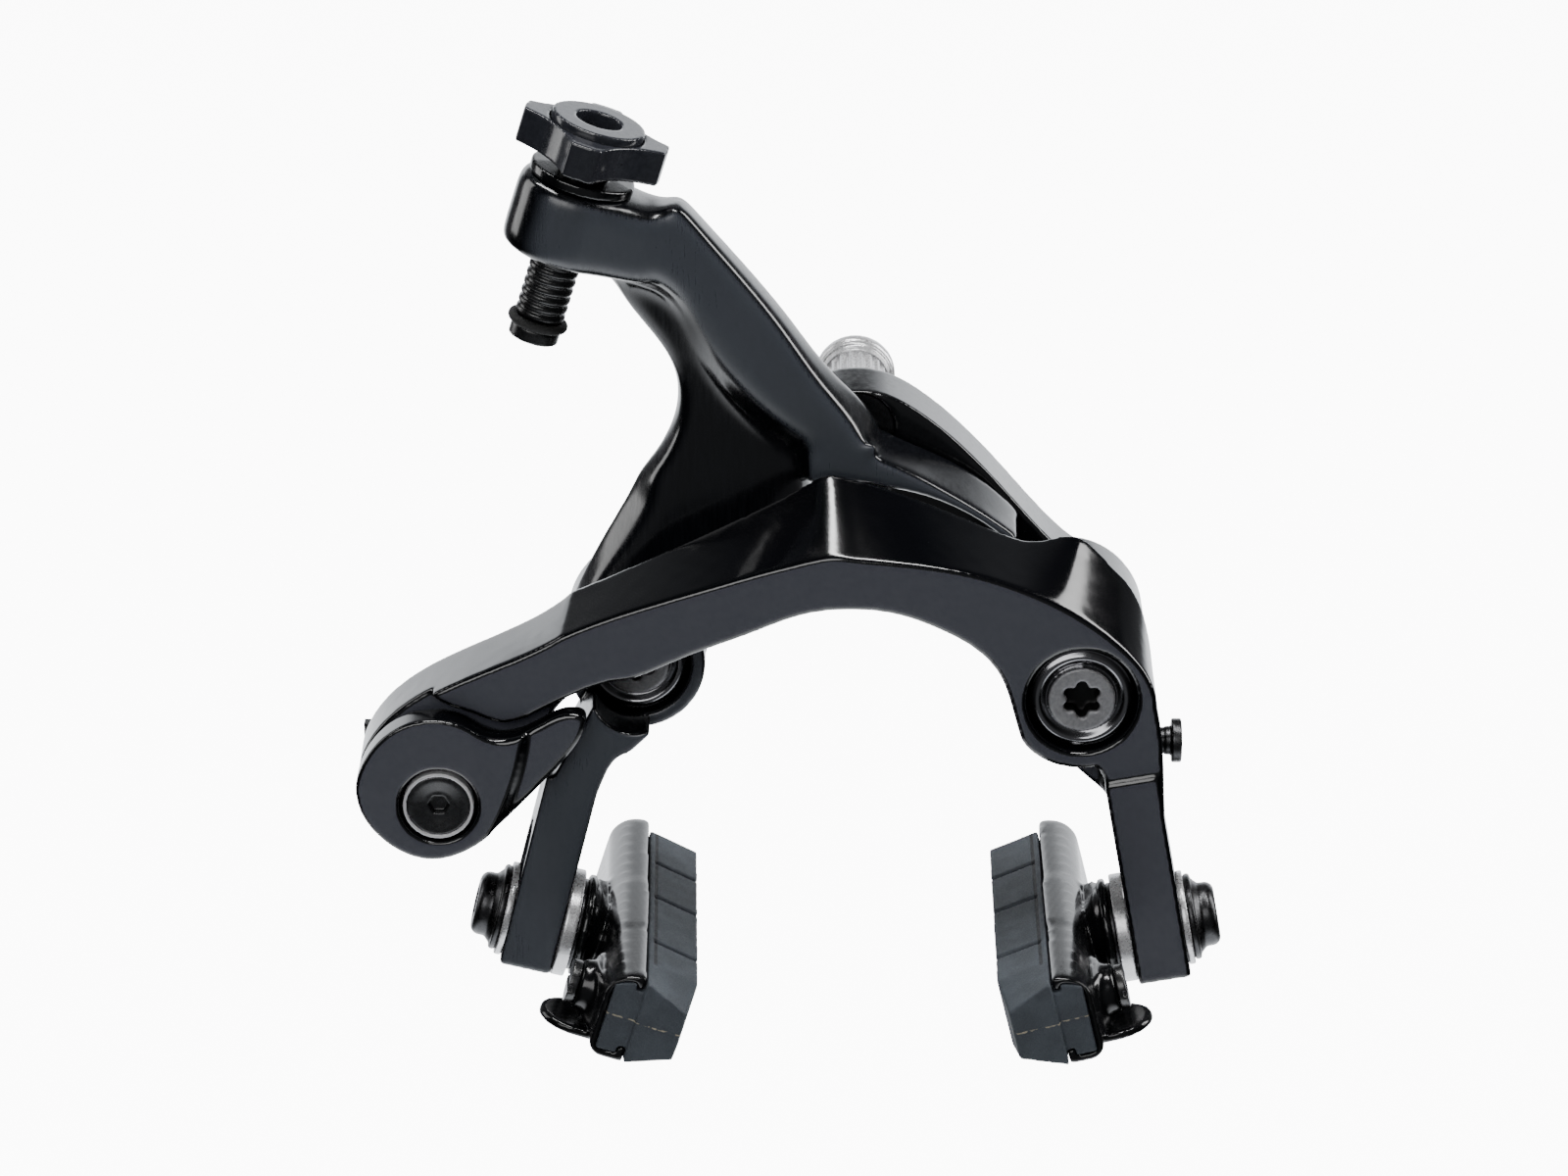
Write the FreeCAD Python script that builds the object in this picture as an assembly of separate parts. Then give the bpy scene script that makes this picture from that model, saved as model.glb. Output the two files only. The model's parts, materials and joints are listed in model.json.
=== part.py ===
"""Centre-bolt dual-pivot rim brake caliper for a road bicycle, one STEP file per piece.

Frame: millimetres, X to the viewer's right, Y towards the fork, Z up.
The origin is on the centre bolt axis at the mounting face, the back of the fork washer.
Sections are drawn with the line of the two pivots at height zero. When they are written
they drop by PIVOT_DROP and move back by FACE_Y, which brings the origin to that point.
"""
import FreeCAD, Part
import math
import os

V = FreeCAD.Vector

# Stack of layers along Y, from the front arm back to the mounting face.
PIVOT_DROP = 24.6
PIVOT_X = 24.5
FRONT_Y0 = -36.5
FRONT_Y1 = -26.6
REAR_ARM_Y0 = -26.1
REAR_ARM_Y1 = -17.5
BRIDGE_Y0 = -17.1
BRIDGE_Y1 = -9.0
FACE_Y = 0.9

# Pivots.
BOLT_R = 3.0
BUSH_R = 4.6
HEAD_R = 5.8
COUNTERBORE_R = 6.1
RUN = 0.03

# Centre bolt, M6 nominal.
CENTRE_R = 3.0
WAIST_R = 2.8
STUB_LENGTH = 3.2
TOOTH_R = 3.7
TOOTH_Y1 = -2.2
WASHER_R = 4.5

# Cam roller between the two arms.
ROLLER_Z = 17.0
ROLLER_R = 4.0
CAM_ARC_R = 24.06
CAM_ARC_Z = -3.0

# Quick-release lever at the far end of the front arm.
AXLE_X = -46.0
AXLE_Z = -11.5
LEVER_Y0 = -38.8
LEVER_Y1 = -35.0
ECCENTRIC = 1.6

# Cable adjuster: a point on its axis, its lean, and heights along it from the top.
ADJUST_X = -27.9
ADJUST_Y = -22.6
ADJUST_Z = 62.2
ADJUST_LEAN = 17.0
STAR_TOP = 0.8
STAR_BOTTOM = 4.7
COLLAR_TOP = 6.0
BOSS_TOP = 7.1
BOSS_BOTTOM = 15.9
ROD_END = 25.9
ROD_R = 2.8
CABLE_R = 1.1
HOUSING_R = 2.55
SEAT_DEPTH = 4.0
SEAT_TUBE_R = 3.9

# Pad legs: lowest pad bolt centre and lean of each leg from the vertical.
LEG_HALF = 2.95
LEG_FOOT = 4.9
SLOT_HALF = 3.05
SLOT_TRAVEL = 8.0
LEFT_BOLT = (-35.9, -30.2, -28.7)
LEFT_LEAN = 14.0
RIGHT_BOLT = (33.55, -31.6, -28.95)
RIGHT_LEAN = -10.1

SCREW_Y = -31.4
SCREW_Z = -6.8

# Brake shoes, in shoe axes: X from the pad bolt's middle towards the rim, Y along the pad.
SPACER = 1.5
CUP = 0.5
SEAT = LEG_HALF + SPACER + CUP
OUTER_WASHER = 0.75
SHOE_FRONT = 23.3
SHOE_REAR = 26.4
NOSE = 3.9
WALL_X = 7.6
MOUTH_X = 11.7
RIM_X = 17.7
SHOE_HALF = 5.15
WALL = 0.85
PAD_SCREW_Y = -17.0
SHOE_PITCH = 4.0
SHOE_ROLL = 3.5
BALL_R = 4.3


def cylinder_y(x, z, r, y0, y1):
    return Part.makeCylinder(r, y1 - y0, V(x, y0, z), V(0, 1, 0))


def cylinder_x(y, z, r, x0, x1):
    return Part.makeCylinder(r, x1 - x0, V(x0, y, z), V(1, 0, 0))


def cone_y(x, z, r0, r1, y0, y1):
    return Part.makeCone(r0, r1, y1 - y0, V(x, y0, z), V(0, 1, 0))


def curve(points, y):
    """A straight edge through two points (x, z), or a smooth one through more."""
    path = [V(x, y, z) for x, z in points]
    if len(path) == 2:
        return Part.makeLine(path[0], path[1])
    spline = Part.BSplineCurve()
    spline.interpolate(path)
    return spline.toShape()


def closed_wire(runs, y):
    """A closed wire of consecutive runs of points; each run starts where the last ended."""
    edges = []
    for index, run in enumerate(runs):
        after = runs[(index + 1) % len(runs)][0]
        edges.append(curve(list(run) + [after], y))
    return Part.Wire(edges)


def slab(runs, y0, y1):
    """A plate between y0 and y1 with the outline given by runs of (x, z) points."""
    face = Part.Face(closed_wire(runs, y0))
    return face.extrude(V(0, y1 - y0, 0))


def skewed_slab(runs0, y0, runs1, y1):
    """A plate whose outline changes from runs0 at y0 to runs1 at y1."""
    return Part.makeLoft([closed_wire(runs0, y0), closed_wire(runs1, y1)], True, True)


def polygon(points, y0, y1):
    return slab([[p] for p in points], y0, y1)


def ring_y(x, z, r_out, r_in, y0, y1):
    return cylinder_y(x, z, r_out, y0, y1).cut(cylinder_y(x, z, r_in, y0 - 1, y1 + 1))


def ring_x(y, z, r_out, r_in, x0, x1):
    return cylinder_x(y, z, r_out, x0, x1).cut(cylinder_x(y, z, r_in, x0 - 1, x1 + 1))


def lobed_socket(x, z, r, y0, depth):
    """A six-lobed driving recess opening towards -Y."""
    tool = cylinder_y(x, z, r * 0.74, y0 - 1, y0 + depth)
    for k in range(6):
        a = math.radians(60 * k + 30)
        reach = 0.72 * r
        lobe = cylinder_y(x + reach * math.cos(a), z + reach * math.sin(a), r * 0.28, y0 - 1, y0 + depth)
        tool = tool.fuse(lobe)
    return tool


def hexagon_y(x, z, across, y0, y1):
    points = []
    for k in range(6):
        a = math.radians(60 * k)
        points.append((x + across / math.sqrt(3) * math.cos(a), z + across / math.sqrt(3) * math.sin(a)))
    return polygon(points, y0, y1)


# ---------------------------------------------------------------- fixed pieces


def bridge_plate():
    """The arched plate behind both arms, with a spacer boss that carries the front arm."""
    top = [(-24.5, 8.6), (-20.6, 12.4), (-17.0, 16.6), (-11.6, 22.5), (-7.0, 26.4), (-3.4, 28.4), (0, 29.0),
           (3.4, 28.4), (7.0, 26.4), (11.6, 22.5), (17.0, 16.6), (20.6, 12.4)]
    right = [(24.5, 8.6), (30.4, 5.4), (32.5, 0), (30.2, -5.7), (24.5, -8.0), (18.8, -5.7)]
    under = [(16.6, 0), (12.0, 9.5), (6.5, 14.6), (0, 16.4), (-6.5, 14.6), (-12.0, 9.5)]
    left = [(-16.6, 0), (-18.8, -5.7), (-24.5, -8.0), (-30.2, -5.7), (-32.5, 0), (-30.4, 5.4)]
    body = slab([top, right, under, left], BRIDGE_Y0, BRIDGE_Y1)
    body = body.fuse(cylinder_y(PIVOT_X, 0, 6.6, FRONT_Y1 + 0.5, BRIDGE_Y0 + 1))
    for side in (-1, 1):
        pocket = slab([[(side * 10.2, 18.4), (side * 14.6, 13.2), (side * 17.6, 8.4)],
                       [(side * 16.2, 7.4), (side * 12.6, 12.6), (side * 9.0, 16.4)]],
                      BRIDGE_Y1 - 3.0, BRIDGE_Y1 + 1)
        body = body.cut(pocket)
        body = body.cut(cylinder_y(side * PIVOT_X, 0, BOLT_R, -60, BRIDGE_Y1 + 1))
    body = body.cut(cylinder_y(0, PIVOT_DROP, CENTRE_R, -60, 10))
    body = body.cut(cylinder_y(0, PIVOT_DROP, 4.1, BRIDGE_Y0 - 3, BRIDGE_Y0 + 2.2))
    return body.removeSplitter()


def centre_bolt():
    """M6 bolt: a low head let into the bridge, a waisted shank and a threaded end past the fork washer."""
    end = FACE_Y + STUB_LENGTH
    head = cylinder_y(0, PIVOT_DROP, 4.05, BRIDGE_Y0 + 0.1, BRIDGE_Y0 + 2.15)
    head = head.cut(hexagon_y(0, PIVOT_DROP, 4.0, BRIDGE_Y0 - 1, BRIDGE_Y0 + 1.8))
    waist = cylinder_y(0, PIVOT_DROP, WAIST_R, BRIDGE_Y0 + 2.0, FACE_Y)
    thread = cylinder_y(0, PIVOT_DROP, CENTRE_R, FACE_Y, end - 0.4)
    tip = cone_y(0, PIVOT_DROP, CENTRE_R, CENTRE_R - 0.4, end - 0.4, end)
    return head.fuse([waist, thread, tip]).removeSplitter()


def toothed_washer():
    """Sleeve behind the bridge with radial teeth around its rim."""
    body = ring_y(0, PIVOT_DROP, TOOTH_R, CENTRE_R, BRIDGE_Y1, TOOTH_Y1)
    for k in range(20):
        notch = cylinder_y(TOOTH_R + 0.05, PIVOT_DROP, 0.36, BRIDGE_Y1, TOOTH_Y1)
        notch.rotate(V(0, 0, PIVOT_DROP), V(0, 1, 0), 18.0 * k)
        body = body.cut(notch)
    return body


def fork_washer():
    """Stepped bright washer that bears on the fork crown."""
    sleeve = ring_y(0, PIVOT_DROP, TOOTH_R + 0.2, CENTRE_R, TOOTH_Y1, FACE_Y - 1.0)
    flange = ring_y(0, PIVOT_DROP, WASHER_R - 0.25, CENTRE_R, FACE_Y - 2.0, FACE_Y - 0.5)
    rim = ring_y(0, PIVOT_DROP, WASHER_R, CENTRE_R, FACE_Y - 1.3, FACE_Y)
    return sleeve.fuse([flange, rim]).removeSplitter()


def pivot_bolt(x, head_y, socket_r):
    """Pivot bolt: dished flange, raised inner head with a six-lobed recess, plain shank."""
    flange = cone_y(x, 0, 5.0, HEAD_R, head_y, head_y + 0.5)
    flange = flange.fuse(cylinder_y(x, 0, HEAD_R, head_y + 0.5, head_y + 1.2))
    flange = flange.cut(cone_y(x, 0, 4.75, 3.9, head_y - 0.01, head_y + 0.6))
    inner = cylinder_y(x, 0, 3.7, head_y - 0.2, head_y + 1.0)
    shank = cylinder_y(x, 0, BOLT_R, head_y + 1.0, BRIDGE_Y1 - 0.4)
    body = flange.fuse([inner, shank]).cut(lobed_socket(x, 0, socket_r, head_y - 0.2, 2.4))
    return body.removeSplitter()


def spring_seat():
    """Moulded block behind the bridge that grips the middle of the return spring."""
    body = polygon([(-5.0, 16.9), (5.0, 16.9), (6.4, 20.2), (-6.4, 20.2)], BRIDGE_Y1, BRIDGE_Y1 + 3.4)
    groove = cylinder_x(BRIDGE_Y1 + 1.7, 18.5, 0.9, -9, 9)
    return body.cut(groove)


def spring_half(side):
    """One half of the wire return spring: straight through the seat, then out and down to the arm."""
    y = BRIDGE_Y1 + 1.7
    points = [V(side * 6.8, y, 18.5), V(side * 14.0, y, 16.0), V(side * 20.0, y, 10.4),
              V(side * 23.2, y, 3.6), V(side * 24.2, y, -3.6), V(side * 24.4, y, -11.2)]
    bow = Part.BSplineCurve()
    bow.interpolate(Points=points, InitialTangent=V(side * 8.0, 0, 0), FinalTangent=V(0, 0, -8.0))
    start = V(side * 0.2, y, 18.5)
    path = Part.Wire([Part.makeLine(start, points[0]), bow.toShape()])
    return path.makePipeShell([Part.Wire([Part.makeCircle(0.85, start, V(1, 0, 0))])], True, False)


# ---------------------------------------------------------------- pad legs


def leg_bar(bolt, lean, width, length):
    """A straight bar with a slot for the pad bolt, leaning outwards towards its foot."""
    x, y, z = bolt
    bar = Part.makeBox(2 * LEG_HALF, width, length + LEG_FOOT, V(x - LEG_HALF, y - width / 2, z - LEG_FOOT))
    slot = cylinder_x(y, z, SLOT_HALF, x - 9, x + 9)
    slot = slot.fuse(cylinder_x(y, z + SLOT_TRAVEL, SLOT_HALF, x - 9, x + 9))
    slot = slot.fuse(Part.makeBox(18, 2 * SLOT_HALF, SLOT_TRAVEL, V(x - 9, y - SLOT_HALF, z)))
    bar.rotate(V(x, y, z), V(0, 1, 0), lean)
    slot.rotate(V(x, y, z), V(0, 1, 0), lean)
    return bar, slot


# ---------------------------------------------------------------- front arm


FRONT_TOP = [[(-32.5, 7.6), (-27.0, 9.9), (-18.4, 12.7), (-11.9, 14.7), (-6.4, 16.2)],
             [(-3.4, 16.9), (-1.9, 16.9)],
             [(-0.4, 16.7), (5.0, 16.2), (10.8, 15.4), (16.4, 13.8), (21.0, 11.7), (25.6, 8.9), (29.2, 5.9),
              (31.6, 3.0)]]
REAR_TOP = [[(-31.5, 9.2), (-27.0, 11.2), (-20.2, 14.4), (-13.6, 17.6), (-9.0, 20.0)],
            [(-4.4, 22.8), (-3.0, 23.1)],
            [(-1.4, 22.8), (2.6, 21.7), (8.0, 19.6), (13.4, 17.2), (16.7, 15.8), (19.4, 15.2), (23.7, 15.9),
             (27.6, 12.8), (30.4, 9.5), (32.1, 4.7)]]
BOSS_SIDE = [(32.7, 0.0), (30.4, -5.8), (24.5, -8.0)]
LOWER_EDGE = [(18.0, -4.8), (16.6, 0.2), (15.4, 3.2), (13.2, 5.8), (9.0, 8.4), (4.7, 10.1), (-0.6, 10.8),
              (-6.0, 10.2), (-12.2, 7.8), (-18.4, 5.4), (-25.0, 2.5), (-29.2, 1.2)]
END_LOBE = [(-34.0, -3.4), (-37.2, -9.6), (-40.2, -15.6), (-46.0, -18.2), (-52.3, -15.9), (-55.0, -9.6),
            (-52.6, -4.0), (-46.4, 0.9)]
LEVER_GAP = [(-46.8, 0.9), (-44.6, -0.6), (-42.1, -1.5), (-39.0, -2.6), (-36.2, -1.9), (-33.6, -0.5),
             (-29.4, 1.5)]


def front_arm():
    """The C-shaped front arm with its pivot boss, lever seat and right pad leg."""
    front = FRONT_TOP + [BOSS_SIDE, LOWER_EDGE, END_LOBE]
    rear = REAR_TOP + [BOSS_SIDE, LOWER_EDGE, END_LOBE]
    body = skewed_slab(front, FRONT_Y0, rear, FRONT_Y1)
    pocket = slab([LEVER_GAP, [(-28.0, -22.0)], [(-60.0, -22.0)], [(-60.0, 0.9)]], FRONT_Y0 - 1, -34.6)
    body = body.cut(pocket)
    bar, slot = leg_bar(RIGHT_BOLT, RIGHT_LEAN, 10.8, 19.8)
    shoulder = slab([[(25.0, -6.6), (26.6, -8.4)], [(27.8, -12.6)], [(33.9, -13.4), (33.7, -9.4), (33.3, -4.0)],
                     [(32.5, 0.0)], [(28.5, 0.0)]], -36.5, FRONT_Y1)
    lug = Part.makeBox(3.2, 20.2, 2.3, V(25.4, -26.8, -11.0))
    gusset = slab([[(19.6, -6.4), (22.4, -8.6)], [(27.9, -13.6)], [(30.0, -9.0)], [(24.5, -3.0)]],
                  -31.4, FRONT_Y1)
    body = body.fuse([bar, shoulder, gusset, lug])
    body = body.cut(slot)
    body = body.cut(cylinder_y(PIVOT_X, 0, COUNTERBORE_R, -45, -34.55))
    body = body.cut(cylinder_y(PIVOT_X, 0, BUSH_R, -45, -20))
    body = body.cut(cylinder_y(AXLE_X, AXLE_Z, 4.0, -45, -20))
    stud = cylinder_y(0, ROLLER_Z, 2.0, FRONT_Y1 - 1, -20.4)
    body = body.fuse(stud)
    hole = cylinder_x(SCREW_Y, SCREW_Z, 1.5, 29.0, 36.0)
    return body.cut(hole).removeSplitter()


def pivot_bush(x, y0, y1):
    """Flanged plain bearing pressed into an arm."""
    return ring_y(x, 0, BUSH_R, BOLT_R + RUN, y0, y1)


def cam_roller():
    return ring_y(0, ROLLER_Z, ROLLER_R, 2.0 + RUN, FRONT_Y1 + 0.3, -21.2)


def roller_clip():
    """Circlip that keeps the roller on its stud."""
    return ring_y(0, ROLLER_Z, 2.9, 2.0, -21.0, -20.5)


def tension_screw():
    """Flanged thumb screw on the outer side of the right leg."""
    thread = cylinder_x(SCREW_Y, SCREW_Z, 1.5 - RUN, 29.2, 34.3)
    neck = cylinder_x(SCREW_Y, SCREW_Z, 1.6, 34.0, 34.8)
    head = cylinder_x(SCREW_Y, SCREW_Z, 2.45, 34.7, 35.8)
    return thread.fuse([neck, head]).removeSplitter()


# ---------------------------------------------------------------- quick release


def release_lever():
    """Comma-shaped lever: a round head over the axle and a tail along the arm."""
    outline = [[(-55.0, -9.0), (-52.9, -4.5), (-49.9, -2.05), (-46.0, -1.25), (-43.2, -1.9), (-40.4, -3.4),
                (-37.8, -3.5), (-35.0, -2.3), (-32.2, -0.9)],
               [(-29.6, -1.2), (-29.9, -3.0), (-32.0, -6.4), (-35.8, -10.6), (-41.2, -15.8), (-46.8, -18.0),
                (-52.6, -15.2)]]
    body = slab(outline, LEVER_Y0, LEVER_Y1)
    scoop = slab([[(-41.6, -17.0), (-38.2, -10.6), (-36.6, -4.6)], [(-36.2, 0.0)], [(-27.0, 0.0)],
                  [(-27.0, -17.0)]], LEVER_Y0 - 1, LEVER_Y0 + 0.9)
    body = body.cut(scoop)
    body = body.cut(cylinder_y(AXLE_X, AXLE_Z, 4.35, LEVER_Y0 - 1, LEVER_Y0 + 1.6))
    return body.cut(cylinder_y(AXLE_X, AXLE_Z, 2.5, LEVER_Y0 - 1, LEVER_Y1 + 1)).removeSplitter()


def release_ring():
    """Bright ring let into the head of the lever around the axle screw."""
    return ring_y(AXLE_X, AXLE_Z, 3.9, 3.5, LEVER_Y0 + 0.1, LEVER_Y0 + 1.6)


def release_screw():
    """Screw that ties the lever to its shaft, with a hexagon recess."""
    head = cylinder_y(AXLE_X, AXLE_Z, 3.5, LEVER_Y0 + 0.2, LEVER_Y0 + 1.6)
    dish = cone_y(AXLE_X, AXLE_Z, 3.0, 1.6, LEVER_Y0 + 0.19, LEVER_Y0 + 0.5)
    head = head.cut(dish).cut(hexagon_y(AXLE_X, AXLE_Z, 2.0, LEVER_Y0, LEVER_Y0 + 1.4))
    shank = cylinder_y(AXLE_X, AXLE_Z, 1.5, LEVER_Y0 + 1.6, -29.0)
    return head.fuse(shank).removeSplitter()


def release_shaft():
    """Shaft through the arm; its rear stub is off-centre and carries the cable anchor."""
    tube = cylinder_y(AXLE_X, AXLE_Z, 2.5, LEVER_Y0 + 1.6, -34.3)
    body = cylinder_y(AXLE_X, AXLE_Z, 4.0 - RUN, -34.3, FRONT_Y1)
    web = cylinder_y(AXLE_X, AXLE_Z, 5.2, FRONT_Y1 + 0.05, -25.6)
    neck = cylinder_y(AXLE_X, AXLE_Z, 4.0 - RUN, FRONT_Y1, -25.6)
    stub = cylinder_y(AXLE_X, AXLE_Z - ECCENTRIC, 2.6, -25.6, -19.6)
    body = tube.fuse([body, neck, web, stub])
    return body.cut(cylinder_y(AXLE_X, AXLE_Z, 1.5, LEVER_Y0, -29.0)).removeSplitter()


def anchor_block():
    """Cable anchor that turns on the eccentric stub; the cable runs in a groove on its left."""
    z = AXLE_Z - ECCENTRIC
    body = cylinder_y(AXLE_X, z, 4.4, -25.4, -20.4)
    ear = Part.makeBox(8.6, 5.0, 7.4, V(AXLE_X - 8.6, -25.4, z - 3.7))
    body = body.fuse(ear)
    body = body.cut(cylinder_y(AXLE_X, z, 2.6 + RUN, -30, -10))
    groove = Part.makeCylinder(0.9, 20, V(AXLE_X - 3.9, -20.4, z - 10), V(0.0, 0, 1))
    body = body.cut(groove)
    return body.cut(cylinder_y(AXLE_X - 6.6, z, 1.5, -30, -10)).removeSplitter()


def anchor_plate():
    """Clamp plate pressed on the cable by the anchor bolt."""
    z = AXLE_Z - ECCENTRIC
    body = Part.makeBox(5.6, 1.4, 6.8, V(AXLE_X - 9.3, -20.35, z - 3.4))
    return body.cut(cylinder_y(AXLE_X - 6.6, z, 1.5, -30, -10))


def anchor_bolt():
    """Cable clamp bolt: hexagon head over the plate and thread in the block."""
    z = AXLE_Z - ECCENTRIC
    shank = cylinder_y(AXLE_X - 6.6, z, 1.5, -24.6, -18.9)
    head = hexagon_y(AXLE_X - 6.6, z, 4.6, -18.9, -16.9)
    return head.fuse(shank).removeSplitter()


def stub_clip():
    """Clip that keeps the anchor block on the eccentric stub."""
    return ring_y(AXLE_X, AXLE_Z - ECCENTRIC, 3.3, 2.6, -20.3, -19.8)


# ---------------------------------------------------------------- rear arm


def tilt(shape):
    """Lean a shape built straight down from the top of the adjuster into its place."""
    shape.rotate(V(0, 0, 0), V(0, 1, 0), ADJUST_LEAN)
    shape.translate(V(ADJUST_X, ADJUST_Y, ADJUST_Z))
    return shape


def drum(r, t0, t1):
    """A cylinder on the adjuster axis between two depths below its top."""
    return Part.makeCylinder(r, t1 - t0, V(0, 0, -t1), V(0, 0, 1))


def strut():
    """The bar from the adjuster boss down to the cam leaf, with a sloping flank under its front face."""
    face = [[(-19.4, 53.8), (-13.9, 47.0), (-8.1, 39.4), (-3.8, 32.9), (0.6, 25.8)],
            [(0.9, 24.0)],
            [(-0.1, 23.9), (-4.9, 26.2), (-9.2, 29.6), (-13.4, 34.2), (-16.6, 38.6), (-19.7, 43.6),
             (-24.2, 47.0)],
            [(-24.6, 51.4)]]
    back = [[(-19.2, 53.2), (-13.4, 46.6), (-7.4, 39.2), (-2.6, 32.8), (2.4, 26.4)],
            [(2.9, 24.2)],
            [(0.4, 21.6), (-6.4, 21.8), (-13.0, 25.0), (-18.6, 30.8), (-20.6, 36.4), (-23.4, 41.6),
             (-28.6, 43.6)],
            [(-29.4, 50.4)]]
    return skewed_slab(face, REAR_ARM_Y0, back, REAR_ARM_Y1 - 2.0)


def web():
    """The set-back plate between the strut, the leaf and the left pivot boss."""
    under = [[(-20.0, 0.0)], [(-16.9, 2.4), (-11.6, 9.6), (-7.4, 16.0), (-4.4, 20.9)], [(-4.2, 22.0)],
             [(3.0, 22.4)], [(1.6, 26.4)], [(-12.2, 38.6)], [(-22.0, 46.0)]]
    front = [[(-26.6, 44.6), (-23.2, 38.6), (-20.6, 34.8), (-19.3, 31.0), (-19.6, 26.6)],
             [(-22.6, 20.6), (-27.6, 9.8), (-31.2, 4.6)], [(-32.1, 0.0)]] + under
    back = [[(-27.4, 43.8), (-24.2, 38.6), (-21.2, 34.8), (-20.0, 31.0), (-20.6, 26.6)],
            [(-24.4, 20.6), (-29.8, 10.4), (-31.9, 4.6)], [(-32.2, 0.0)]] + under
    return skewed_slab(front, REAR_ARM_Y0 + 3.4, back, REAR_ARM_Y1)


def leaf():
    """The tongue that ends the rear arm; its underside is the cam face that the roller pushes."""
    arc = []
    for k in range(7):
        x = 17.0 - (17.0 + 4.4) / 6 * k
        arc.append((x, CAM_ARC_Z + math.sqrt(CAM_ARC_R ** 2 - x ** 2)))
    crown = [(-6.0, 26.0), (0.0, 26.4), (2.7, 25.0), (9.2, 21.9), (13.6, 19.3), (16.8, 16.5), (18.0, 14.6)]
    low = [(-6.0, 25.0), (0.0, 25.0), (2.6, 24.2), (9.1, 20.8), (13.4, 18.1), (16.2, 16.2), (17.6, 14.7)]
    heel = [(-6.0, 21.6)]
    return skewed_slab([low, arc, heel], REAR_ARM_Y0, [crown, arc, heel], REAR_ARM_Y1 - 0.2)


def adjuster_boss():
    """Upright drum for the cable adjuster with a neck that runs into the strut."""
    body = drum(6.7, BOSS_TOP, BOSS_BOTTOM)
    corners = [(1.0, -6.6), (5.6, -4.9), (10.0, -3.6), (11.0, 4.2), (5.0, 5.6), (1.0, 6.4)]
    plan = [V(x, y, -BOSS_BOTTOM) for x, y in corners]
    neck = Part.Face(Part.makePolygon(plan + [plan[0]])).extrude(V(0, 0, BOSS_BOTTOM - 0.4 - BOSS_TOP))
    return tilt(body.fuse(neck))


def rear_arm():
    """The Y-shaped rear arm: strut with adjuster boss, web, cam leaf, pivot boss, left leg."""
    boss = cylinder_y(-PIVOT_X, 0, 7.7, REAR_ARM_Y0, REAR_ARM_Y1)
    bar, slot = leg_bar(LEFT_BOLT, LEFT_LEAN, 9.0, 18.8)
    shoulder = slab([[(-28.7, -0.8)], [(-23.8, -3.9)], [(-22.6, -4.6)],
                     [(-25.0, -6.9), (-27.4, -8.9), (-28.9, -12.4)], [(-34.8, -12.4)]], -34.7, REAR_ARM_Y1 - 6.0)
    lug = Part.makeBox(3.2, 19.6, 2.3, V(-28.6, -26.2, -11.0))
    end_pad = cone_y(1.5, 25.6, 0.5, 1.1, REAR_ARM_Y0 - 0.35, REAR_ARM_Y0 + 0.6)
    body = strut().fuse([web(), leaf(), boss, adjuster_boss(), bar, shoulder, lug, end_pad])
    body = body.cut(slot)
    body = body.cut(cone_y(-PIVOT_X, 0, 2.6, 6.1, -35.0, REAR_ARM_Y0))
    body = body.cut(cylinder_y(-PIVOT_X, 0, COUNTERBORE_R, REAR_ARM_Y0 - 0.1, -24.25))
    body = body.cut(cylinder_y(-PIVOT_X, 0, BUSH_R, -45, -10))
    below = cylinder_y(0, CAM_ARC_Z, CAM_ARC_R, REAR_ARM_Y0 - 1, REAR_ARM_Y1 + 1)
    wedge = polygon([(-4.4, 6.0), (-4.4, 26.0), (22.0, 26.0), (22.0, 6.0)], REAR_ARM_Y0 - 1, REAR_ARM_Y1 + 1)
    body = body.cut(below.common(wedge))
    return body.cut(tilt(drum(ROD_R, 0, 30))).removeSplitter()


def adjuster_star():
    """Star-shaped thumb nut with concave flanks, fixed to the threaded rod."""
    body = drum(8.1, STAR_TOP, STAR_BOTTOM)
    for k in range(4):
        a = math.radians(90 * k + 38)
        scallop = Part.makeCylinder(9.6, 12, V(15.3 * math.cos(a), 15.3 * math.sin(a), -10), V(0, 0, 1))
        body = body.cut(scallop)
    body = body.cut(drum(ROD_R, -1, 30))
    body = body.cut(drum(SEAT_TUBE_R + 0.05, -1, SEAT_DEPTH))
    body = body.cut(drum(5.3, -1, STAR_TOP + 0.6))
    return tilt(body)


def adjuster_rod():
    """Hollow threaded rod through the boss, with a groove for the stop ring."""
    body = drum(ROD_R - RUN, SEAT_DEPTH, ROD_END)
    for k in range(7):
        t = BOSS_BOTTOM + 0.9 + 1.05 * k
        body = body.cut(drum(ROD_R + 1, t, t + 0.45).cut(drum(ROD_R - 0.3, t, t + 0.45)))
    low = ROD_END - 1.5
    groove = drum(ROD_R + 1, low - 1.1, low).cut(drum(ROD_R - 0.5, low - 1.1, low))
    body = body.cut(groove)
    body = body.cut(drum(CABLE_R, 0, 40))
    return tilt(body)


def adjuster_seat():
    """Cable housing seat in the top of the star nut; it stays still while the nut turns."""
    body = drum(5.2, 0.0, STAR_TOP + 0.5).fuse(drum(SEAT_TUBE_R, 0.0, SEAT_DEPTH - 0.1))
    return tilt(body.cut(drum(HOUSING_R, -1, SEAT_DEPTH - 0.8)).cut(drum(CABLE_R, -1, 20)).removeSplitter())


def adjuster_collar():
    """Detent ring seated on top of the boss."""
    return tilt(drum(5.8, COLLAR_TOP, BOSS_TOP).cut(drum(ROD_R + 0.12, 0, 30)))


def stop_ring():
    """Rubber ring near the end of the rod that stops it being wound out."""
    ring = Part.makeTorus(ROD_R + 0.05, 0.53)
    ring.translate(V(0, 0, -(ROD_END - 2.05)))
    return tilt(ring)


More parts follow.
